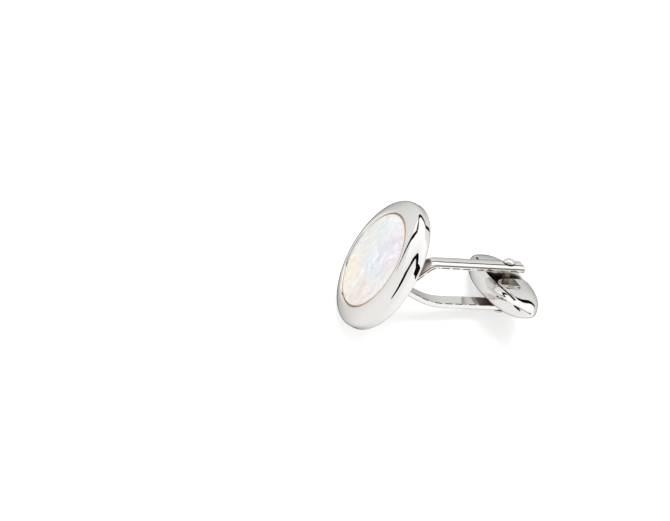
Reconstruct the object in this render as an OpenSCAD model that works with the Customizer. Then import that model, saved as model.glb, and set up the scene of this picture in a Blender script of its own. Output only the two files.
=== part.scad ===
// A round cufflink: a polished bezel with a shell inlay, a two-armed fork soldered to its
// back, and a long oval toggle that swivels on a rivet between the arms.
// It lies on a table as it comes to rest by itself, with +Z up.

/* [Bezel] */
// Outside diameter of the bezel
bezel_d = 17; // [15:0.5:19]
// Thickness of the bezel, from the face of the inlay to the flat back
bezel_t = 2.3; // [2:0.1:3]
// Height of the crest of the ring above the face of the inlay
crest_h = 0.15; // [0.05:0.05:0.4]
// Tilt of the domed front just outside its crest, in degrees
face_in_a = 14; // [8:1:20]
// Tilt of the domed front where the shoulder starts, in degrees
face_out_a = 36; // [30:1:42]
// Radius of the shoulder, from the front round to the side
shoulder_r = 0.95; // [0.6:0.05:1.1]
// Radius of the edge at the back
back_edge_r = 0.45; // [0.2:0.05:0.5]

/* [Inlay] */
// Diameter of the shell inlay
inlay_d = 12.5; // [11:0.5:13]
// Thickness of the inlay
inlay_t = 0.9; // [0.6:0.1:1.2]
// Clearance between the inlay and its seat
inlay_gap = 0.03; // [0.02:0.01:0.1]
// Bevel of the inlay's front edge
inlay_bevel = 0.08; // [0.04:0.02:0.16]

/* [Fork] */
// Width of the strip that the arms are made of
strip_w = 2.3; // [1.8:0.1:2.6]
// Thickness of the strip at its crown
strip_t = 0.9; // [0.7:0.1:1.2]
// Thickness of the strip at its two edges
strip_edge_t = 0.45; // [0.3:0.05:0.6]
// Clear space between the arms where the toggle sits
arm_gap = 4.6; // [4:0.2:5.6]
// Lean of the arms from the axis of the bezel, in degrees
lean = 24.8; // [16:0.2:30]
// Height of the rivet above the back of the bezel
rivet_z = 15; // [14:0.5:17]
// Distance of the rivet from the axis of the bezel
rivet_x = 5; // [4.5:0.25:6]
// Length of each arm past the centre of the rivet
arm_tip = 1.95; // [1.5:0.05:2.5]
// Distance of the stem from the axis of the bezel
stem_x = 1.05; // [0.6:0.05:1.4]
// Height at which the two arms part
crotch_z = 3.3; // [2.6:0.1:3.8]
// Slope of the upper arm between the stem and its elbow, in degrees
brace_a = 22; // [16:1:30]
// Radius of the long bend in the lower arm
long_bend_r = 7.5; // [5:0.5:9]
// Radius of the elbow in the upper arm
elbow_r = 1.4; // [0.8:0.1:2]
// Rounding of the arms' square tips
tip_r = 0.25; // [0.1:0.05:0.35]

/* [Rivet] */
// Diameter of the rivet's shank
rivet_d = 1; // [0.8:0.1:1.2]
// Diameter of the domed heads
rivet_head_d = 1.75; // [1.4:0.05:2]
// Height of the domed heads
rivet_head_h = 0.62; // [0.4:0.02:0.8]
// Depth of the flat spot under each head
rivet_spot = 0.08; // [0.04:0.02:0.16]
// Radial play of the toggle on the shank
rivet_play = 0.04; // [0.02:0.01:0.08]

/* [Toggle] */
// Length of the toggle
toggle_l = 16.5; // [14:0.5:18]
// Width of the toggle, across the rivet
toggle_w = 6.5; // [5.7:0.1:7]
// Height of the toggle, along the rivet
toggle_h = 2.85; // [2.4:0.05:3.4]
// Offset of the toggle's middle from the rivet, towards the bezel
toggle_off = 0.18; // [0:0.02:0.4]
// Turn of the toggle past square to the arms, in degrees
toggle_turn = 4; // [0:1:20]
// Width of the slot behind the spring leaf
slot_w = 0.2; // [0.15:0.05:0.4]
// Distance of the slot from the centre of the rivet, where it passes it
slot_x = 1.95; // [1.75:0.05:2.2]
// Length of the slot
slot_l = 12.4; // [10:0.1:13]
// Depth of the waist under each arm
waist_t = 0.75; // [0.3:0.05:0.9]
// Width of the waist, along the toggle
waist_w = 1.8; // [1.4:0.1:2.4]

/* [Hidden] */
$fn = 96;
SILVER = [0.86, 0.86, 0.87];
SHELL = [0.95, 0.93, 0.92];

// The cufflink is drawn with its bezel's flat back on z = 0, the arms above it in the plane y = 0.
// along runs from the stem to the arms' tips, and across from the lower arm to the upper one.
along = [sin(lean), cos(lean)];
across = [cos(lean), -sin(lean)];
rivet_at = [rivet_x, rivet_z];
arm_half = arm_gap / 2;

// Points of an arc round [x, y] from angle a0 to angle a1, in n steps
function arc(x, y, r, a0, a1, n) =
    [for (i = [0:n]) let (a = a0 + (a1 - a0) * i / n) [x + r * cos(a), y + r * sin(a)]];

// Bezel: a half section as [radius, height], turned round the axis. Heights below 0 face forwards.
seat_r = inlay_d / 2 + inlay_gap;
lip_r = 0.3;
crest_r = seat_r + lip_r;
crest_z = -bezel_t - crest_h;
face_w = bezel_d / 2 - crest_r - lip_r * sin(face_in_a) - shoulder_r * (1 - sin(face_out_a));
face_r = face_w / (sin(face_out_a) - sin(face_in_a));
face_x = crest_r - (face_r - lip_r) * sin(face_in_a);
face_z = crest_z + lip_r + (face_r - lip_r) * cos(face_in_a);
shoulder_z = face_z - (face_r - shoulder_r) * cos(face_out_a);
bezel_section = concat(
    [[0, 0], [0, -bezel_t + inlay_t + inlay_gap], [seat_r, -bezel_t + inlay_t + inlay_gap]],
    arc(crest_r, crest_z + lip_r, lip_r, 180, 270 + face_in_a, 8),
    arc(face_x, face_z, face_r, 270 + face_in_a, 270 + face_out_a, 6),
    arc(bezel_d / 2 - shoulder_r, shoulder_z, shoulder_r, 270 + face_out_a, 360, 8),
    arc(bezel_d / 2 - back_edge_r, -back_edge_r, back_edge_r, 0, 90, 8)
);

// Heading of the line from p to q, and the point where two lines of given headings meet
function heading(p, q) = atan2(q[1] - p[1], q[0] - p[0]);
function dir(h) = [cos(h), sin(h)];
function left_of(h) = [-sin(h), cos(h)];
function meet(p, hp, q, hq) = p + dir(hp) * ((q - p) * left_of(hq)) / (dir(hp) * left_of(hq));

// Rows of [point, heading] round the corner q of the line p, q, r, with a given radius
function bend(p, q, r, radius, n) =
    let (h0 = heading(p, q), turn = heading(q, r) - h0, side = sign(turn))
    let (start = q - dir(h0) * radius * tan(abs(turn) / 2), mid = start + left_of(h0) * radius * side)
    [for (i = [0:n]) let (h = h0 + turn * i / n) [mid - left_of(h) * radius * side, h]];

// The inner face of each arm, seen from the side: foot, corners and tip. The foot is sunk into the bezel.
foot_sunk = 0.3;
tip_h = 90 - lean;
stem_foot = [-stem_x, -foot_sunk];
upper_tip = rivet_at + across * arm_half + along * arm_tip;
lower_tip = rivet_at - across * arm_half + along * arm_tip;
crotch = [-stem_x, crotch_z];
elbow = meet(crotch, brace_a, upper_tip, tip_h);
knee = meet(stem_foot, 90, lower_tip, tip_h);
crotch_r = strip_t + 0.4;

// The strip's section as [across its width, out from its inner face], with a domed outer face
strip_edge_r = 0.1;
dome_steps = 14;
strip_section = concat(
    [[strip_w / 2, strip_edge_r], [strip_w / 2 - strip_edge_r, 0]],
    [[strip_edge_r - strip_w / 2, 0], [-strip_w / 2, strip_edge_r]],
    [for (i = [0:dome_steps]) let (a = 180 - 180 * i / dome_steps)
        [strip_w / 2 * cos(a), strip_edge_t + (strip_t - strip_edge_t) * sin(a)]]
);

// Rows at the tip, with the strip drawn in a little to round the end
function tip_rows(at, h) = [for (i = [0:4]) let (a = 90 * i / 4)
    [at - dir(h) * tip_r * (1 - sin(a)), h, tip_r * (1 - cos(a))]];

// A strip swept along rows of [point of the inner face, heading, drawn in by], domed towards one side
module strip(rows, side) {
    count = len(strip_section);
    mid = strip_edge_t / 2;
    points = [for (row = rows) for (s = strip_section)
        let (drawn_in = row[2] == undef ? 0 : row[2])
        let (lift = mid + (s[1] - mid) * (1 - 2 * drawn_in / strip_t))
        let (at = row[0] + left_of(row[1]) * side * lift)
        [at[0], s[0] * (1 - 2 * drawn_in / strip_w), at[1]]];
    last = (len(rows) - 1) * count;
    wall = [for (i = [0:len(rows) - 2]) for (j = [0:count - 1])
        let (k = (j + 1) % count, a = i * count, b = a + count)
        side > 0 ? [a + j, a + k, b + k, b + j] : [a + j, b + j, b + k, a + k]];
    foot = [for (j = [0:count - 1]) side > 0 ? count - 1 - j : j];
    head = [for (j = [0:count - 1]) last + (side > 0 ? j : count - 1 - j)];
    polyhedron(points, concat(wall, [foot, head]), convexity = 6);
}

module upper_arm() {
    strip(concat(
        [[stem_foot, 90]],
        bend(stem_foot, crotch, elbow, crotch_r, 8),
        bend(crotch, elbow, upper_tip, elbow_r, 8),
        tip_rows(upper_tip, tip_h)
    ), -1);
}

module lower_arm() {
    strip(concat(
        [[stem_foot, 90]],
        bend(stem_foot, knee, lower_tip, long_bend_r, 10),
        tip_rows(lower_tip, tip_h)
    ), 1);
}

// Moves what is drawn round the origin to the rivet, with z along the rivet and x along the arms
module at_rivet() {
    translate([rivet_x, 0, rivet_z]) rotate([0, lean - 90, 0]) children();
}

// The heads sit in flat spots on the arms' crowns, and both fits leave a hair of clearance
rivet_seat = arm_half + strip_t - rivet_spot;
rivet_fit = 0.01;
spot_fit = 0.05;

module bezel_and_fork() {
    spot_d = rivet_head_d + 2 * spot_fit;
    color(SILVER) place() difference() {
        union() {
            rotate_extrude() polygon(bezel_section);
            upper_arm();
            lower_arm();
        }
        at_rivet() {
            cylinder(h = 4 * arm_gap, d = rivet_d + 2 * rivet_fit, center = true);
            translate([0, 0, rivet_seat]) cylinder(h = strip_t, d = spot_d);
            translate([0, 0, -rivet_seat - strip_t]) cylinder(h = strip_t, d = spot_d);
        }
    }
}

module inlay() {
    r = inlay_d / 2;
    color(SHELL) place() translate([0, 0, -bezel_t]) rotate_extrude()
        polygon([[0, 0], [r - inlay_bevel, 0], [r, inlay_bevel], [r, inlay_t], [0, inlay_t]]);
}

// One rivet: the shank and a dome at each end, cut from a ball that bulges past the dome's rim
module rivet() {
    ball_r = rivet_head_d / 2;
    color(SILVER) place() at_rivet() {
        cylinder(h = 2 * rivet_seat, d = rivet_d, center = true);
        for (end = [-1, 1]) intersection() {
            translate([0, 0, end * (rivet_seat + rivet_head_h - ball_r)]) sphere(ball_r);
            translate([0, 0, end * (rivet_seat + rivet_head_h / 2)])
                cube([2 * rivet_head_d, 2 * rivet_head_d, rivet_head_h], center = true);
        }
    }
}

// Toggle: an oval body whose plan and section are superellipses of these powers. Seen from its side it is
// straight for most of its length, and each end is half an ellipse.
plan_power = 1.9;
section_power = 3;
toggle_end_l = 4.5;
toggle_rings = 30;
ring_steps = 44;
function power(x, p) = sign(x) * pow(abs(x), p);
function plan_share(t) = pow(1 - pow(abs(t), plan_power), 1 / plan_power);
function side_share(t) = sqrt(1 - pow(max(0, 1 - (1 - abs(t)) * toggle_l / 2 / toggle_end_l), 2));

module toggle_body() {
    ts = [for (i = [0:toggle_rings]) 0.9995 * sin(-90 + 180 * i / toggle_rings)];
    points = [for (t = ts) for (j = [0:ring_steps - 1]) let (u = 360 * j / ring_steps)
        [toggle_w / 2 * plan_share(t) * power(cos(u), 2 / section_power) - toggle_off,
         toggle_l / 2 * t,
         toggle_h / 2 * side_share(t) * power(sin(u), 2 / section_power)]];
    wall = [for (i = [0:toggle_rings - 1]) for (j = [0:ring_steps - 1])
        let (k = (j + 1) % ring_steps, a = i * ring_steps, b = a + ring_steps) [a + j, a + k, b + k, b + j]];
    near = [for (j = [0:ring_steps - 1]) ring_steps - 1 - j];
    far = [for (j = [0:ring_steps - 1]) toggle_rings * ring_steps + j];
    polyhedron(points, concat(wall, [near, far]), convexity = 4);
}

// Plan of the slot: a bowed line that parts the leaf from the toggle between its two closed ends
module slot_plan() {
    $fn = 180;
    bow_r = 30;
    intersection() {
        square([2 * toggle_w, slot_l], center = true);
        translate([bow_r - slot_x - slot_w, 0]) difference() {
            circle(bow_r);
            circle(bow_r - slot_w);
        }
    }
}

// Plan of the waist: it crosses the toggle and meets the slot round the corners of the two halves
module waist_plan() {
    corner = 1.3;
    translate([-slot_x, -waist_w / 2]) square([slot_x + toggle_w / 2, waist_w]);
    difference() {
        translate([-slot_x, -waist_w / 2 - corner]) square([corner, waist_w + 2 * corner]);
        for (end = [-1, 1]) translate([corner - slot_x, end * (waist_w / 2 + corner)]) circle(corner);
    }
}

module toggle() {
    color(SILVER) place() at_rivet() rotate([0, 0, -toggle_turn]) difference() {
        toggle_body();
        cylinder(h = 2 * toggle_h, d = rivet_d + 2 * rivet_play, center = true);
        linear_extrude(2 * toggle_h, center = true) slot_plan();
        for (side = [0, 1]) mirror([0, 0, side]) translate([0, 0, toggle_h / 2 - waist_t])
            linear_extrude(toggle_h) waist_plan();
    }
}

// At rest the rim of the bezel, the lower head of the rivet and one end of the toggle touch the table,
// and the origin is on the table under the middle of the whole cufflink
rest_turn = [143.5, -51.1, 49.8];
rest_shift = [-6.7, -1.17, 7.19];

module place() {
    translate(rest_shift) rotate(rest_turn) children();
}

bezel_and_fork();
inlay();
rivet();
toggle();
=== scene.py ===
from math import asin, atan2, ceil, cos, degrees, hypot, pi, radians, sin, tan

import bmesh
import bpy
import numpy as np
from mathutils import Euler, Matrix, Vector


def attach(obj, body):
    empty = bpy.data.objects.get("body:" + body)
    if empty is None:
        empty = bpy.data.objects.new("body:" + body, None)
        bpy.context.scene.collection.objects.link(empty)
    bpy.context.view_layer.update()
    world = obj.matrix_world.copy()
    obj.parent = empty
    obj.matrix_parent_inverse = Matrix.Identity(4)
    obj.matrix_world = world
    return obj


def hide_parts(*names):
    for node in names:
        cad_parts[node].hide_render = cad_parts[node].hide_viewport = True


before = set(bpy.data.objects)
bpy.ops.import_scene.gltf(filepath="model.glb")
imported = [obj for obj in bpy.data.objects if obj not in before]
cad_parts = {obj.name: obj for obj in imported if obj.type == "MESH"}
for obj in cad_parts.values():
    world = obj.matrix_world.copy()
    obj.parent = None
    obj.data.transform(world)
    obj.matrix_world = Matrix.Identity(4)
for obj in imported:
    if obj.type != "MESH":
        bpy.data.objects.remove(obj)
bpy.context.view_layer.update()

# Bezel: a round cast ring with a flat back, turned and polished to a mirror. Its domed front falls
# away from a narrow crest to a soft shoulder, and the seat inside the crest takes the inlay.
BEZEL_R = 8.5
BEZEL_T = 2.3
SEAT_R = 6.28
SEAT_Z = -1.37
LIP_R = 0.3
CREST_H = 0.15
FACE_IN_A = 14
FACE_OUT_A = 36
SHOULDER_R = 0.95
BACK_EDGE_R = 0.45
BEZEL_GAP = 0.4
SILVER = (0.95, 0.935, 0.915, 1)
HAZED_SILVER = [c * 0.97 for c in SILVER[:3]] + [1]
# Colours of painted shade on the silver: tan where it is shaded, black where the shade is deepest.
SHADE_TAN = (0.40, 0.32, 0.265, 1)
SHADE_BLACK = (0.05, 0.038, 0.03, 1)

# How dull the silver is at a point runs from 0 for bright, by satin and tan, to 1 for black. Up to
# satin it only turns rougher; the tan and black past it are painted colour, for shade and for dark
# reflections.
DULL_SATIN = 0.12
DULL_TAN = 0.5
DULL_BLACK = 1

# Sizes are millimetres in the maker's own frame, with the bezel's back on z = 0 and the arms in
# the plane y = 0. This turn and shift lay the cufflink on the table.
REST_TURN = Euler([radians(a) for a in (143.5, -51.1, 49.8)], "XYZ")
REST_SHIFT = Vector((-6.7, -1.17, 7.19))
MM = 0.001
AT_REST = Matrix.Scale(MM, 4) @ Matrix.Translation(REST_SHIFT) @ REST_TURN.to_matrix().to_4x4()


def arc(x, y, r, a0, a1, n):
    """Points of an arc round (x, y), from angle a0 to a1 in degrees, in n steps."""
    angles = [radians(a0 + (a1 - a0) * i / n) for i in range(n + 1)]
    return [(x + r * cos(a), y + r * sin(a)) for a in angles]


def spread(line, step):
    """A line's points, with more put in wherever two of them are further apart than step."""
    out = [line[0]]
    for a, b in zip(line, line[1:]):
        n = max(1, ceil(hypot(b[0] - a[0], b[1] - a[1]) / step))
        out += [(a[0] + (b[0] - a[0]) * i / n, a[1] + (b[1] - a[1]) * i / n)
                for i in range(1, n + 1)]
    return out


def worked(name, points, faces, metal, sharp=40, dull=None):
    """A smooth-shaded object from points in the maker's frame, its edges over sharp degrees kept.

    dull lists how dull the silver is at each point, from 0 to 1; past satin that is painted shade."""
    mesh = bpy.data.meshes.new(name)
    mesh.from_pydata([AT_REST @ Vector(p) for p in points], [], faces)
    if dull:
        mesh.attributes.new("dullness_and_shade", "FLOAT", "POINT").data.foreach_set("value", dull)
    bm = bmesh.new()
    bm.from_mesh(mesh)
    bmesh.ops.remove_doubles(bm, verts=bm.verts, dist=2e-7)
    bmesh.ops.dissolve_degenerate(bm, edges=bm.edges, dist=1e-8)
    bmesh.ops.recalc_face_normals(bm, faces=bm.faces)
    for face in bm.faces:
        face.smooth = True
    for edge in bm.edges:
        edge.smooth = edge.calc_face_angle(0) < radians(sharp)
    bm.to_mesh(mesh)
    bm.free()
    mesh.materials.append(metal)
    obj = bpy.data.objects.new(name, mesh)
    bpy.context.scene.collection.objects.link(obj)
    return obj


def turned(name, section, metal, place=Matrix(), steps=288, sharp=40, dull=None):
    """A solid turned round the z axis from its half section, points (radius, height) pole to pole.

    dull gives how dull the silver is at a height, from 0 to 1; past satin that is painted shade."""
    inner = section[1:-1]
    points = [place @ Vector((0, 0, section[0][1])), place @ Vector((0, 0, section[-1][1]))]
    for i in range(steps):
        a = 2 * pi * i / steps
        points += [place @ Vector((r * cos(a), r * sin(a), z)) for r, z in inner]
    count = len(inner)
    faces = []
    for i in range(steps):
        p, q = 2 + i * count, 2 + (i + 1) % steps * count
        faces += [(0, p, q), (1, q + count - 1, p + count - 1)]
        faces += [(p + j, p + j + 1, q + j + 1, q + j) for j in range(count - 1)]
    dulled = [0, 0] + [dull(z) for _, z in inner] * steps if dull else None
    return worked(name, points, faces, metal, sharp, dulled)


def feed(links, value, socket):
    """Gives an input its value, which is another node's socket or plain numbers."""
    if hasattr(value, "links"):
        links.new(value, socket)
    else:
        socket.default_value = value


def maker_frame(nodes, links):
    """A socket with the place on the piece in millimetres of the maker's frame, for its marks."""
    place = nodes.new("ShaderNodeTexCoord")
    back = nodes.new("ShaderNodeMapping")
    back.vector_type = "TEXTURE"
    back.inputs["Location"].default_value = REST_SHIFT * MM
    back.inputs["Rotation"].default_value = REST_TURN
    back.inputs["Scale"].default_value = (MM, MM, MM)
    links.new(place.outputs["Object"], back.inputs["Vector"])
    return back.outputs["Vector"]


def noise(nodes, links, vector, scale, detail=3, output="Fac"):
    """Cloudy noise, as a grey value or, from the output Color, as three values."""
    cloud = nodes.new("ShaderNodeTexNoise")
    cloud.inputs["Scale"].default_value = scale
    cloud.inputs["Detail"].default_value = detail
    links.new(vector, cloud.inputs["Vector"])
    return cloud.outputs[output]


def remap(nodes, links, value, low, high, to_low=0, to_high=1):
    """A value moved from the band low to high into the band to_low to to_high, and kept in it."""
    band = nodes.new("ShaderNodeMapRange")
    feed(links, value, band.inputs["Value"])
    for name, number in (("From Min", low), ("From Max", high),
                         ("To Min", to_low), ("To Max", to_high)):
        band.inputs[name].default_value = number
    return band.outputs["Result"]


def blend_colour(nodes, links, amount, first, second):
    """A mix of two colours, each a socket or a plain colour, by an amount."""
    mix = nodes.new("ShaderNodeMix")
    mix.data_type = "RGBA"
    for socket, value in ((mix.inputs[0], amount), (mix.inputs[6], first), (mix.inputs[7], second)):
        feed(links, value, socket)
    return mix.outputs[2]


def add_bump(nodes, links, shader, height, strength, distance):
    """Raises a shader's surface by a height socket."""
    bump = nodes.new("ShaderNodeBump")
    bump.inputs["Strength"].default_value = strength
    bump.inputs["Distance"].default_value = distance
    links.new(height, bump.inputs["Height"])
    links.new(bump.outputs["Normal"], shader.inputs["Normal"])


def polished_silver(name):
    """Silver polished to a mirror, with a faint haze, buffing marks, rougher dull spots and painted
    shade in tan and black.
    """
    metal = bpy.data.materials.new(name)
    metal.use_nodes = True
    nodes, links = metal.node_tree.nodes, metal.node_tree.links
    shader = nodes["Principled BSDF"]
    shader.inputs["Metallic"].default_value = 1
    shader.inputs["Specular Tint"].default_value = (0.5, 0.49, 0.48, 1)
    place = maker_frame(nodes, links)
    dullness_and_shade = nodes.new("ShaderNodeAttribute")
    dullness_and_shade.attribute_name = "dullness_and_shade"
    dull = dullness_and_shade.outputs["Fac"]
    cloud = noise(nodes, links, place, 0.35, 4)
    bright = blend_colour(nodes, links, cloud, SILVER, HAZED_SILVER)
    # Past satin the colour takes painted shade: tan, then black.
    brown = remap(nodes, links, dull, DULL_SATIN, DULL_TAN)
    black = remap(nodes, links, dull, DULL_TAN, DULL_BLACK)
    tan_shaded = blend_colour(nodes, links, brown, bright, SHADE_TAN)
    colour = blend_colour(nodes, links, black, tan_shaded, SHADE_BLACK)
    links.new(colour, shader.inputs["Base Color"])
    haze = noise(nodes, links, place, 0.8, 5)
    rough = nodes.new("ShaderNodeMath")
    links.new(remap(nodes, links, dull, 0, DULL_SATIN, 0, 0.3), rough.inputs[0])
    links.new(remap(nodes, links, haze, 0.35, 0.75, 0.03, 0.06), rough.inputs[1])
    links.new(rough.outputs["Value"], shader.inputs["Roughness"])
    add_bump(nodes, links, shader, noise(nodes, links, place, 3, 3), 0.02, 0.00002)
    return metal


silver = polished_silver("polished_silver")
crest_r = SEAT_R + LIP_R
crest_z = -BEZEL_T - CREST_H
face_in, face_out = radians(FACE_IN_A), radians(FACE_OUT_A)
face_w = BEZEL_R - crest_r - LIP_R * sin(face_in) - SHOULDER_R * (1 - sin(face_out))
face_r = face_w / (sin(face_out) - sin(face_in))
face_x = crest_r - (face_r - LIP_R) * sin(face_in)
face_z = crest_z + LIP_R + (face_r - LIP_R) * cos(face_in)
shoulder_z = face_z - (face_r - SHOULDER_R) * cos(face_out)
bezel_section = (
    [(0, SEAT_Z), (SEAT_R, SEAT_Z)]
    + arc(crest_r, crest_z + LIP_R, LIP_R, 180, 270 + FACE_IN_A, 16)
    + arc(face_x, face_z, face_r, 270 + FACE_IN_A, 270 + FACE_OUT_A, 16)
    + arc(BEZEL_R - SHOULDER_R, shoulder_z, SHOULDER_R, 270 + FACE_OUT_A, 360, 24)
    + arc(BEZEL_R - BACK_EDGE_R, -BACK_EDGE_R, BACK_EDGE_R, 0, 90, 12)
    + [(0, 0)]
)
bezel = turned("bezel", spread(bezel_section, BEZEL_GAP), silver)
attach(bezel, "head")
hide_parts("bezel_and_fork")

# Inlay: a disc of mother of pearl, sawn from shell, ground flat and cemented into the seat. Round
# its
# bevelled edge a thin tan line is painted: the cement, and a painted reflection of the seat's
# shaded inner wall.
INLAY_R = 6.25
INLAY_T = 0.9
INLAY_BEVEL = 0.08
INLAY_GAP = 0.3
CEMENT_AND_REFLECTION_FROM = 6.06
CEMENT_AND_REFLECTION_FADE = 0.06
NACRE = (0.73, 0.725, 0.72, 1)
WISP = (0.88, 0.88, 0.88, 1)
CEMENT_AND_REFLECTION = (0.56, 0.35, 0.16, 1)
WANDER = 4
GRAIN_A = -14
PATCHES = (
    # middle x, middle y, radius, strength, colour
    (-3.4, -3.2, 4.4, 0.9, (0.84, 0.76, 0.60, 1)),
    (3.0, -3.2, 3.4, 0.75, (0.62, 0.74, 0.69, 1)),
    (-0.2, 0.6, 3.6, 0.8, (0.57, 0.67, 0.77, 1)),
    (2.6, 3.4, 3.4, 0.85, (0.73, 0.61, 0.76, 1)),
    (-4.4, 2.6, 3.6, 0.8, (0.78, 0.62, 0.57, 1)),
    (5.0, -0.6, 2.6, 0.8, (0.84, 0.84, 0.9, 1)),
)


def vector_maths(nodes, links, operation, *values):
    """A vector maths node, its inputs fed in turn with sockets or plain numbers."""
    maths = nodes.new("ShaderNodeVectorMath")
    maths.operation = operation
    for socket, value in zip(maths.inputs, values):
        feed(links, value, socket)
    return maths


def mother_of_pearl(name):
    """Nacre: off white with pastel patches, fine wavy growth lines and a clear polish."""
    nacre = bpy.data.materials.new(name)
    nacre.use_nodes = True
    nodes, links = nacre.node_tree.nodes, nacre.node_tree.links
    shader = nodes["Principled BSDF"]
    place = maker_frame(nodes, links)
    wander = noise(nodes, links, place, 0.5, 4, "Color")
    shift = (WANDER, WANDER, 0)
    wavy = vector_maths(nodes, links, "MULTIPLY_ADD", wander, shift, place).outputs["Vector"]
    colour = NACRE
    for x, y, radius, strength, tint in PATCHES:
        middle = (x + WANDER / 2, y + WANDER / 2, -BEZEL_T)
        gap = vector_maths(nodes, links, "DISTANCE", wavy, middle).outputs["Value"]
        near = remap(nodes, links, gap, 0, radius, strength, 0)
        colour = blend_colour(nodes, links, near, colour, tint)
    drawn_out = nodes.new("ShaderNodeMapping")
    drawn_out.inputs["Rotation"].default_value = (0, 0, radians(GRAIN_A))
    drawn_out.inputs["Scale"].default_value = (0.3, 1, 1)
    links.new(wavy, drawn_out.inputs["Vector"])
    along_grain = drawn_out.outputs["Vector"]
    wisps = remap(nodes, links, noise(nodes, links, along_grain, 1.1, 4), 0.5, 0.68, 0, 0.8)
    colour = blend_colour(nodes, links, wisps, colour, WISP)
    grain = noise(nodes, links, along_grain, 2.6, 5)
    lined = vector_maths(nodes, links, "SCALE", colour)
    links.new(remap(nodes, links, grain, 0.32, 0.68, 0.86, 1.1), lined.inputs["Scale"])
    plates = nodes.new("ShaderNodeTexVoronoi")
    plates.feature = "DISTANCE_TO_EDGE"
    plates.inputs["Scale"].default_value = 0.9
    links.new(along_grain, plates.inputs["Vector"])
    crack = remap(nodes, links, plates.outputs["Distance"], 0, 0.035, 0.45, 0)
    cracked = blend_colour(nodes, links, crack, lined.outputs["Vector"], WISP)
    flat = vector_maths(nodes, links, "MULTIPLY", place, (1, 1, 0)).outputs["Vector"]
    from_middle = vector_maths(nodes, links, "LENGTH", flat).outputs["Value"]
    # A tan ring painted at the edge: the cement line, with a painted reflection of the seat's inner
    # wall.
    edge = remap(nodes, links, from_middle, CEMENT_AND_REFLECTION_FROM, CEMENT_AND_REFLECTION_FROM + CEMENT_AND_REFLECTION_FADE)
    links.new(blend_colour(nodes, links, edge, cracked, CEMENT_AND_REFLECTION), shader.inputs["Base Color"])
    shader.inputs["Roughness"].default_value = 0.22
    shader.inputs["Coat Weight"].default_value = 0.5
    shader.inputs["Coat Roughness"].default_value = 0.06
    shader.inputs["Subsurface Weight"].default_value = 0.15
    shader.inputs["Subsurface Radius"].default_value = (0.0006, 0.0005, 0.0004)
    add_bump(nodes, links, shader, grain, 0.15, 0.00003)
    return nacre


shell = mother_of_pearl("mother_of_pearl")
inlay_section = [(0, -BEZEL_T), (INLAY_R - INLAY_BEVEL, -BEZEL_T),
                 (INLAY_R, -BEZEL_T + INLAY_BEVEL),
                 (INLAY_R, -BEZEL_T + INLAY_T), (0, -BEZEL_T + INLAY_T)]
inlay = turned("inlay", spread(inlay_section, INLAY_GAP), shell, steps=192, sharp=30)
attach(inlay, "head")
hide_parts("inlay")

# Fork: two lengths of domed silver strip, laid back to back where they are soldered to the bezel
# and bent apart above it. Their inner faces are flat, their outer faces domed, their tips square.
STRIP_W = 2.3
STRIP_T = 0.9
STRIP_EDGE_T = 0.45
STRIP_EDGE_R = 0.1
LEAN = radians(24.8)
RIVET_AT = Vector((5, 15))
ARM_HALF = 2.3
ARM_TIP = 1.95
STEM_X = 1.05
STEM_FOOT_Z = -0.3
CROTCH_Z = 3.3
CROTCH_R = 1.3
BRACE_A = radians(22)
ELBOW_R = 1.4
LONG_BEND_R = 7.5
TIP_R = 0.25
WIDTH_STEPS = 40
EDGE_STEPS = 5
BEND_STEPS = 32
FIRST_STEPS = 8
LAST_STEPS = 60
TIP_STEPS = 8
along = Vector((sin(LEAN), cos(LEAN)))
across = Vector((cos(LEAN), -sin(LEAN)))

# Where shade and dark reflections are painted on the arms. The domes are a mottled tan of painted
# shade up to a height, with a painted dark reflection line DOME_LINE_W to each side of their edge.
# A second such line lies on the flanks, between FLANK_LINE's heights above the inner face. The
# inner faces turn duller in stretches, in millimetres ahead of the rivet, the lower arm's with
# painted shade.
UPPER_TAN_Z = 4.35
LOWER_TAN_Z = 1.5
TAN_FADE = 0.15
DOME_TAN = 0.6
DOME_MOTTLE = 0.3
DOME_LINE_W = 0.08
DOME_LINE = 0.8
FLANK_ROWS = (0.12, 0.15, 0.24, 0.27, 0.36)
FLANK_LINE = (0.14, 0.25)
SATIN_STRETCH = (-6, -5)
TAN_STRETCH = (-3.4, -3.1)
BLACK_STRETCH = (-2.2, -1)


def ahead(heading):
    """One step along a heading in the side view."""
    return Vector((cos(heading), sin(heading)))


def left_of(heading):
    """One step to the left of a heading in the side view."""
    return Vector((-sin(heading), cos(heading)))


def meet(p, hp, q, hq):
    """Where the line through p with heading hp crosses the line through q with heading hq."""
    return p + ahead(hp) * ((q - p) @ left_of(hq)) / (ahead(hp) @ left_of(hq))


def bend(p, q, r, radius):
    """Rows of (point, heading) round the corner q of the line p, q, r."""
    h0, h1 = atan2(*(q - p).yx), atan2(*(r - q).yx)
    side = 1 if h1 > h0 else -1
    start = q - ahead(h0) * radius * tan(abs(h1 - h0) / 2)
    mid = start + left_of(h0) * radius * side
    rows = []
    for i in range(BEND_STEPS + 1):
        h = h0 + (h1 - h0) * i / BEND_STEPS
        rows.append((mid - left_of(h) * radius * side, h))
    return rows


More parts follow.
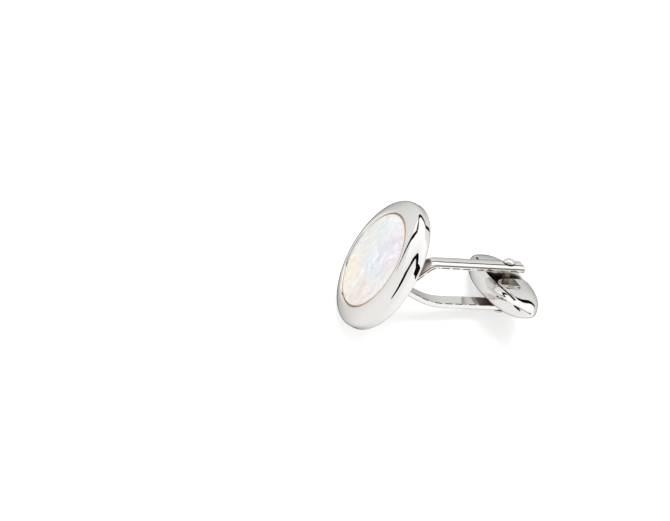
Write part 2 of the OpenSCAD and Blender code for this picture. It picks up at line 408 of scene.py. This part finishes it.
def strip_section():
    """The strip's section as (across its width, out from its inner face), all the way round."""
    edge = STRIP_W / 2
    flat = STRIP_W - 2 * STRIP_EDGE_R
    rise = STRIP_T - STRIP_EDGE_T
    angles = [pi * i / WIDTH_STEPS for i in range(WIDTH_STEPS + 1)]
    return (
        arc(STRIP_EDGE_R - edge, STRIP_EDGE_R, STRIP_EDGE_R, 270, 180, EDGE_STEPS)
        + [(-edge, out) for out in FLANK_ROWS]
        + [(-edge * cos(a), STRIP_EDGE_T + rise * sin(a)) for a in angles]
        + [(edge, out) for out in FLANK_ROWS[::-1]]
        + arc(edge - STRIP_EDGE_R, STRIP_EDGE_R, STRIP_EDGE_R, 0, -90, EDGE_STEPS)
        + [(edge - STRIP_EDGE_R - i * flat / WIDTH_STEPS, 0) for i in range(1, WIDTH_STEPS)]
    )


def ramp(value, start, end):
    """0 at start, 1 at end, and straight between them."""
    return min(1, max(0, (value - start) / (end - start)))


def broken_line(ahead_by):
    """How dull a broken line of painted dark reflection is along an arm. Two waves of unlike length
    leave uneven gaps.
    """
    return ramp(sin(4.1 * ahead_by) + 0.7 * sin(9.7 * ahead_by), -0.9, 0)


def darkened(at, y, out, tan_z, upper):
    """How dull an arm is at a point of its side view, y across its width, out from its inner face.

    The line on the dome's edge runs on past the tan on the upper arm alone. The broken line is on
    the upper arm's flanks and the lower arm's inner corners. Both lines are painted dark
    reflections, and the tan is painted shade. The upper arm's inner face is satin near the toggle,
    and the lower arm's turns tan and then black with painted shade."""
    ahead_by = (at - RIVET_AT) @ along
    low = ramp(at.y, tan_z, tan_z - TAN_FADE)
    if out > STRIP_EDGE_T + DOME_LINE_W:
        return low * (DOME_TAN + DOME_MOTTLE * sin(5 * at.y) * cos(3 * y))
    if out > STRIP_EDGE_T - DOME_LINE_W:
        return max(low, DOME_LINE if upper else 0)
    on_line = FLANK_LINE[0] < out < FLANK_LINE[1] if upper else 0 < out < STRIP_EDGE_R
    line = broken_line(ahead_by) if on_line else 0
    if out >= STRIP_EDGE_R:
        return line
    if upper:
        return max(line, DULL_SATIN * ramp(ahead_by, *SATIN_STRETCH))
    to_black = (DULL_BLACK - DULL_TAN) * ramp(ahead_by, *BLACK_STRETCH)
    return max(line, DULL_TAN * ramp(ahead_by, *TAN_STRETCH) + to_black)


def arm(name, corners, radii, side, tan_z):
    """A strip bent along the line of its inner face, domed to one side of it, with a soft tip."""
    rows = [(corners[0], atan2(*(corners[1] - corners[0]).yx))]
    for i, radius in enumerate(radii):
        curve = bend(corners[i], corners[i + 1], corners[i + 2], radius)
        rows += [(rows[-1][0].lerp(curve[0][0], k / FIRST_STEPS), curve[0][1])
                 for k in range(1, FIRST_STEPS)] + curve
    heading = rows[-1][1]
    tip = corners[-1] - ahead(heading) * TIP_R
    rows += [(rows[-1][0].lerp(tip, k / LAST_STEPS), heading) for k in range(1, LAST_STEPS)]
    rows = [(p, h, 0) for p, h in rows]
    for i in range(TIP_STEPS + 1):
        a = pi / 2 * i / TIP_STEPS
        rows.append((tip + ahead(heading) * TIP_R * sin(a), heading, TIP_R * (1 - cos(a))))
    section = strip_section()
    mid = STRIP_EDGE_T / 2
    points, dull = [], []
    for p, h, drawn_in in rows:
        for y, out in section:
            lift = mid + (out - mid) * (1 - 2 * drawn_in / STRIP_T)
            at = p + left_of(h) * side * lift
            points.append((at.x, y * (1 - 2 * drawn_in / STRIP_W), at.y))
            dull.append(darkened(at, y, out, tan_z, side < 0))
    count = len(section)
    faces = [tuple(range(count)), tuple(range(len(points) - count, len(points)))]
    for i in range(0, len(points) - count, count):
        faces += [(i + j, i + (j + 1) % count, i + count + (j + 1) % count, i + count + j)
                  for j in range(count)]
    obj = worked(name, points, faces, silver, dull=dull)
    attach(obj, "head")
    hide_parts("bezel_and_fork")


tip_heading = pi / 2 - LEAN
stem_foot = Vector((-STEM_X, STEM_FOOT_Z))
crotch = Vector((-STEM_X, CROTCH_Z))
upper_tip = RIVET_AT + across * ARM_HALF + along * ARM_TIP
lower_tip = RIVET_AT - across * ARM_HALF + along * ARM_TIP
elbow = meet(crotch, BRACE_A, upper_tip, tip_heading)
knee = meet(stem_foot, pi / 2, lower_tip, tip_heading)
arm("upper_arm", [stem_foot, crotch, elbow, upper_tip], [CROTCH_R, ELBOW_R], -1, UPPER_TAN_Z)
arm("lower_arm", [stem_foot, knee, lower_tip], [LONG_BEND_R], 1, LOWER_TAN_Z)

# Rivet: one length of silver wire through both arms and the toggle. Its ends are spread into domes,
# each sunk a little into its arm's crown.
RIVET_R = 0.5
RIVET_HEAD_R = 0.875
RIVET_HEAD_H = 0.62
RIVET_SINK = 0.08
RIVET_SEAT = ARM_HALF + STRIP_T - RIVET_SINK
# Painted shade at the foot of each rivet head: black up to the first height above the seat, gone by
# the second, and carried this far down the shank.
FOOT_SHADE_BLACK_H = 0.1
FOOT_SHADE_H = 0.22
FOOT_SHADE_UNDER = 0.3
AT_RIVET = (Matrix.Translation((RIVET_AT.x, 0, RIVET_AT.y))
            @ Matrix.Rotation(LEAN - pi / 2, 4, "Y"))
ball_z = RIVET_SEAT + RIVET_HEAD_H - RIVET_HEAD_R
foot_a = degrees(asin((RIVET_SEAT - ball_z) / RIVET_HEAD_R))
half_rivet = [(RIVET_R, 0), (RIVET_R, RIVET_SEAT)] + arc(0, ball_z, RIVET_HEAD_R, foot_a, 90, 24)
rivet_section = [(r, -z) for r, z in half_rivet[:0:-1]] + half_rivet


def round_foot(z):
    """How dull the rivet is: black painted shade at the foot of each head, fading out above it."""
    if abs(z) <= RIVET_SEAT - FOOT_SHADE_UNDER:
        return 0
    return ramp(abs(z), RIVET_SEAT + FOOT_SHADE_H, RIVET_SEAT + FOOT_SHADE_BLACK_H)


rivet = turned("rivet", rivet_section, silver, AT_RIVET, steps=96, dull=round_foot)
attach(rivet, "head")
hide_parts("rivet")

# Toggle: an oval bar, cast and polished. A bowed slot, closed at both ends, parts the spring leaf
# from its inner side, a waist crosses it under each arm, and it swivels on the rivet.
TOGGLE_L = 16.5
TOGGLE_W = 6.5
TOGGLE_H = 2.85
TOGGLE_OFF = 0.18
TOGGLE_TURN = radians(4)
TOGGLE_FLAT_L = 7.5
PLAN_POWER = 1.9
SECTION_POWER = 3
NEAR_TIP = 0.9995
SLOT_X = 1.95
SLOT_W = 0.2
SLOT_BOW_R = 30
SLOT_L = 12.4
LEAF_EDGE_R = 0.2
WAIST_W = 1.8
WAIST_FLOOR = 0.675
WAIST_CORNER = 1.3
BLOCK_EDGE_R = 0.12
BORE_R = 0.54
SKIN_STEP = 0.09
SKIN_MARGIN = 0.15
SETTLE_ROUNDS = 4
LEAST_PULL = 0.25
# Painted shade in the toggle's recesses starts this deep under the oval's surface and deepens to
# black over the next depth.
DULL_FROM = 0.15
DULL_OVER = 0.5
AT_TOGGLE = AT_RIVET @ Matrix.Rotation(-TOGGLE_TURN, 4, "Z")


def both(a, b, r):
    """The depth under the surface of what two forms share, their meeting edge rounded to r."""
    corner = np.hypot(np.maximum(a + r, 0), np.maximum(b + r, 0))
    return np.minimum(np.maximum(a, b), -r) + corner


def oval(x, y, z):
    """The toggle's outer form: 0 on its surface, growing outwards but not evenly."""
    t = np.minimum(np.abs(y) / (TOGGLE_L / 2), NEAR_TIP)
    half_w = TOGGLE_W / 2 * (1 - t ** PLAN_POWER) ** (1 / PLAN_POWER)
    fall = np.maximum(t * TOGGLE_L - TOGGLE_FLAT_L, 0) / (TOGGLE_L - TOGGLE_FLAT_L)
    half_h = TOGGLE_H / 2 * np.sqrt(1 - fall ** 2)
    across_w = (np.abs(x + TOGGLE_OFF) / half_w) ** SECTION_POWER
    return (across_w + (np.abs(z) / half_h) ** SECTION_POWER) ** (1 / SECTION_POWER) - 1


def slope_of(form, x, y, z, h=0.002):
    """How fast a form grows along x, y and z."""
    return np.stack([(form(x + h, y, z) - form(x - h, y, z)) / (2 * h),
                     (form(x, y + h, z) - form(x, y - h, z)) / (2 * h),
                     (form(x, y, z + h) - form(x, y, z - h)) / (2 * h)])


def oval_depth(x, y, z):
    """Roughly the distance in millimetres out from the oval's surface, below 0 inside it."""
    return oval(x, y, z) / np.maximum(np.linalg.norm(slope_of(oval, x, y, z), axis=0), 1e-6)


def toggle_form(x, y, z):
    """0 on the toggle's surface, below 0 inside it."""
    outside = np.maximum(oval_depth(x, y, z), np.abs(y) - TOGGLE_L / 2)
    past_leaf = SLOT_BOW_R - np.hypot(x + SLOT_X + SLOT_W - SLOT_BOW_R, y)
    leaf = both(outside, past_leaf, LEAF_EDGE_R)
    main = both(outside, SLOT_W - past_leaf, BLOCK_EDGE_R)
    blocks = both(-SLOT_X - x, WAIST_W / 2 - np.abs(y), WAIST_CORNER)
    main = both(main, np.minimum(blocks, np.abs(z) - WAIST_FLOOR), BLOCK_EDGE_R)
    main = np.maximum(main, BORE_R - np.hypot(x, y))
    past_slot = both(outside, SLOT_L / 2 - np.abs(y), BLOCK_EDGE_R)
    return np.minimum(np.minimum(leaf, main), past_slot)


def next_along(axis, rest):
    """Two cuts of a grid, one step apart along an axis and the same along the other two."""
    first, second = [rest] * 3, [rest] * 3
    first[axis], second[axis] = slice(None, -1), slice(1, None)
    return tuple(first), tuple(second)


def skin(form, reach, step):
    """Points and four-sided faces over a form's surface, from a grid of cells out to its reach.

    Each cell that the surface crosses gets one point, and the four cells round each grid edge that
    the surface crosses get one face. The points then settle onto the surface."""
    grid = np.stack(np.meshgrid(*[np.arange(-r, r + step, step) for r in reach], indexing="ij"))
    value = form(*grid)
    inside = value < 0
    cells = tuple(n - 1 for n in value.shape)
    total = np.zeros((3,) + cells)
    crossings = np.zeros(cells)
    for axis in range(3):
        first, second = next_along(axis, slice(None))
        v0, v1 = value[first], value[second]
        crossed = inside[first] != inside[second]
        at = grid[(slice(None),) + first].copy()
        at[axis] += np.where(crossed, v0 / np.where(crossed, v0 - v1, 1), 0) * step
        u, v = [a for a in range(3) if a != axis]
        for i in (0, 1):
            for j in (0, 1):
                part = [slice(None)] * 3
                part[u], part[v] = slice(i, i + cells[u]), slice(j, j + cells[v])
                part = tuple(part)
                total += np.where(crossed[part], at[(slice(None),) + part], 0)
                crossings += crossed[part]
    used = crossings > 0
    number = np.full(cells, -1)
    number[used] = np.arange(used.sum())
    points = total[:, used] / crossings[used]
    faces = []
    for axis in range(3):
        first, second = next_along(axis, slice(1, -1))
        here, there = inside[first], inside[second]
        cell = np.argwhere(here != there)
        leaving = here[here != there]
        u, v = [a for a in range(3) if a != axis]
        cell[:, [u, v]] += 1
        corners = []
        for du, dv in ((-1, -1), (0, -1), (0, 0), (-1, 0)):
            c = cell.copy()
            c[:, u] += du
            c[:, v] += dv
            corners.append(number[c[:, 0], c[:, 1], c[:, 2]])
        quads = np.stack(corners, axis=1)
        flip = leaving if axis == 1 else ~leaving
        quads[flip] = quads[flip][:, ::-1]
        faces.append(quads)
    for _ in range(SETTLE_ROUNDS):
        pull = slope_of(form, *points)
        move = form(*points) * pull / np.maximum((pull ** 2).sum(axis=0), LEAST_PULL)
        points -= np.clip(move, -step / 3, step / 3)
    return points, np.concatenate(faces)


def skinned(name, form, reach, place, metal):
    """An object with a form's skin, shaded by the form's own slope, with painted shade in its
    recesses.
    """
    points, quads = skin(form, reach, SKIN_STEP)
    turn = place.to_3x3().normalized()
    mesh = bpy.data.meshes.new(name)
    mesh.from_pydata([place @ Vector(p) for p in points.T], [], quads.tolist())
    mesh.polygons.foreach_set("use_smooth", [True] * len(mesh.polygons))
    mesh.materials.append(metal)
    # Painted shade, darker the deeper a point lies under the oval.
    dull = np.clip((-oval_depth(*points) - DULL_FROM) / DULL_OVER, 0, 1)
    mesh.attributes.new("dullness_and_shade", "FLOAT", "POINT").data.foreach_set("value", dull)
    mesh.normals_split_custom_set_from_vertices(
        [turn @ Vector(n).normalized() for n in slope_of(form, *points).T])
    obj = bpy.data.objects.new(name, mesh)
    bpy.context.scene.collection.objects.link(obj)
    return obj


toggle_reach = (TOGGLE_W / 2 + TOGGLE_OFF + SKIN_MARGIN, TOGGLE_L / 2 + SKIN_MARGIN,
                TOGGLE_H / 2 + SKIN_MARGIN)
toggle = skinned("toggle_bar", toggle_form, toggle_reach, AT_REST @ AT_TOGGLE, silver)
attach(toggle, "toggle")
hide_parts("toggle")

# Table and light: a pale table under a white tent. The tent's seams are dark: one runs level behind
# the cufflink and one arches high over it, and the silver mirrors them as its black lines.
TABLE_HALF = 1.5
PAPER = (0.72, 0.72, 0.72, 1)
# The paper's painted glow, which lifts its shadows towards white.
PAPER_PAINTED_GLOW = 0.4
TAPE = (0, 0, 0, 1)
TAPE_GLOW = 0.003
ROOF = (1.08, 1.08, 1.08, 1)
WALL = (0.81, 0.81, 0.805, 1)
FRONT = (0.88, 0.88, 0.875, 1)
RIGHT_SIDE = (1.02, 1.02, 1.02, 1)
FOOT = (0.06, 0.06, 0.06, 1)
UNDER_BACK = (0.025, 0.687, -0.726)
TENT_R = 0.6
ARCH = (
    # azimuth, elevation and width in degrees
    (-33, 13, 3), (-28, 21, 9), (-24, 27, 12), (-22, 34, 12), (-25, 46, 13), (-30, 60, 13),
    (-36, 71, 12), (-62, 79, 9), (-95, 81, 9), (-125, 78, 10), (-146, 70, 12), (-157, 61, 15),
    (-161, 52, 20), (-157, 44, 23), (-150, 38, 24), (-143, 33, 23), (-137, 27, 20),
    (-132, 21, 14), (-127, 14, 2),
)
BACK_SEAM = (
    (35, 8, 2), (48, 16, 6), (60, 22, 8), (76, 27, 10), (90, 28, 8), (106, 30, 6),
    (121, 32, 4.5), (132, 36, 4.5), (139, 38, 5), (145, 34, 5), (152, 25, 4), (158, 17, 4),
    (165, 11, 1),
)

# Each part of the tent takes over from the next between two lengths of the direction to it,
# measured up, back, right or towards UNDER_BACK.
ROOF_BAND = (0.45, 0.49)
BACK_BAND = (-0.1, 0.4)
RIGHT_BAND = (0, 0.9)
FOOT_BAND = (0.92, 0.98)

# The soft box's azimuth and elevation in degrees and its distance, its width and its power.
SOFT_BOX_AT = (60, 70, 0.9)
SOFT_BOX_W = 0.7
SOFT_BOX_POWER = 5


def plain(name, colour, painted_glow):
    """A dull surface of one colour with a painted glow of white light, though it is no lamp."""
    surface = bpy.data.materials.new(name)
    surface.use_nodes = True
    shader = surface.node_tree.nodes["Principled BSDF"]
    shader.inputs["Base Color"].default_value = colour
    shader.inputs["Roughness"].default_value = 1
    shader.inputs["Specular IOR Level"].default_value = 0
    shader.inputs["Emission Color"].default_value = (1, 1, 1, 1)
    shader.inputs["Emission Strength"].default_value = painted_glow
    return surface


def sheet(name, points, faces, surface):
    """A flat piece of the studio, which is no part of the cufflink."""
    mesh = bpy.data.meshes.new(name)
    mesh.from_pydata(points, [], faces)
    mesh.materials.append(surface)
    obj = bpy.data.objects.new(name, mesh)
    bpy.context.scene.collection.objects.link(obj)
    return obj


def tent_point(azimuth, elevation, radius):
    """A point of the tent, by its angles in degrees and its distance from the cufflink."""
    a, e = radians(azimuth), radians(elevation)
    return Vector((cos(e) * cos(a), cos(e) * sin(a), sin(e))) * radius


def seam(name, rows):
    """A dark band across the tent, through rows of (azimuth, elevation, width) in degrees.

    It is seen in polished metal alone."""
    points = []
    for i, (azimuth, elevation, width) in enumerate(rows):
        before = tent_point(*rows[max(i - 1, 0)][:2], TENT_R)
        after = tent_point(*rows[min(i + 1, len(rows) - 1)][:2], TENT_R)
        middle = tent_point(azimuth, elevation, TENT_R)
        side = (after - before).cross(middle).normalized() * TENT_R * tan(radians(width / 2))
        points += [middle - side, middle + side]
    faces = [(i, i + 1, i + 3, i + 2) for i in range(0, len(points) - 2, 2)]
    obj = sheet(name, points, faces, plain(name + "_tape", TAPE, TAPE_GLOW))
    obj.visible_camera = False
    obj.visible_diffuse = False
    obj.visible_shadow = False
    obj.visible_transmission = False


def white_tent(world):
    """Lights a world as the tent, with its walls' shades told apart by the direction to them."""
    world.use_nodes = True
    nodes, links = world.node_tree.nodes, world.node_tree.links
    towards = nodes.new("ShaderNodeTexCoord").outputs["Generated"]
    parts = nodes.new("ShaderNodeSeparateXYZ")
    links.new(towards, parts.inputs["Vector"])
    above_seam = remap(nodes, links, parts.outputs["Z"], *ROOF_BAND)
    behind = remap(nodes, links, parts.outputs["Y"], *BACK_BAND)
    to_right = remap(nodes, links, parts.outputs["X"], *RIGHT_BAND)
    under_back = vector_maths(nodes, links, "DOT_PRODUCT", towards, UNDER_BACK)
    at_foot = remap(nodes, links, under_back.outputs["Value"], *FOOT_BAND)
    back_wall = blend_colour(nodes, links, above_seam, WALL, ROOF)
    front_wall = blend_colour(nodes, links, to_right, FRONT, RIGHT_SIDE)
    walls = blend_colour(nodes, links, behind, front_wall, back_wall)
    tent = nodes["Background"]
    links.new(blend_colour(nodes, links, at_foot, walls, FOOT), tent.inputs["Color"])
    tent.inputs["Strength"].default_value = 1


table_corners = [(-TABLE_HALF, -TABLE_HALF, 0), (TABLE_HALF, -TABLE_HALF, 0),
                 (TABLE_HALF, TABLE_HALF, 0), (-TABLE_HALF, TABLE_HALF, 0)]
table = sheet("table", table_corners, [(0, 1, 2, 3)], plain("table_paper", PAPER, PAPER_PAINTED_GLOW))
table.visible_glossy = False
seam("arch_seam", ARCH)
seam("back_seam", BACK_SEAM)
scene = bpy.context.scene
scene.world = scene.world or bpy.data.worlds.new("tent")
white_tent(scene.world)
lamp = bpy.data.lights.new("soft_box_above", "AREA")
lamp.shape = "DISK"
lamp.size = SOFT_BOX_W
lamp.energy = SOFT_BOX_POWER
soft_box = bpy.data.objects.new("soft_box_above", lamp)
soft_box.location = tent_point(*SOFT_BOX_AT)
soft_box.rotation_euler = soft_box.location.to_track_quat("Z", "Y").to_euler()
soft_box.visible_glossy = False
scene.collection.objects.link(soft_box)

# Camera: a long lens from the photo's direction. Its place and turn put the cufflink where it
# stands in the photo's frame, at the photo's size.
LENS = 87.95
SENSOR_W = 36
NEAREST = 0.01
CAMERA_AT = (-0.013065, -0.138785, 0.153127)
CAMERA_RIGHT = Vector((0.98521, 0.12543, 0.11671))
CAMERA_UP = Vector((-0.17133, 0.71766, 0.67498))
camera = bpy.data.objects.new("camera", bpy.data.cameras.new("camera"))
camera.data.lens = LENS
camera.data.sensor_width = SENSOR_W
camera.data.clip_start = NEAREST
camera.matrix_world = Matrix.Translation(CAMERA_AT) @ Matrix(
    (CAMERA_RIGHT, CAMERA_UP, CAMERA_RIGHT.cross(CAMERA_UP))).transposed().to_4x4()
scene.collection.objects.link(camera)
scene.camera = camera
scene.view_settings.view_transform = "Standard"
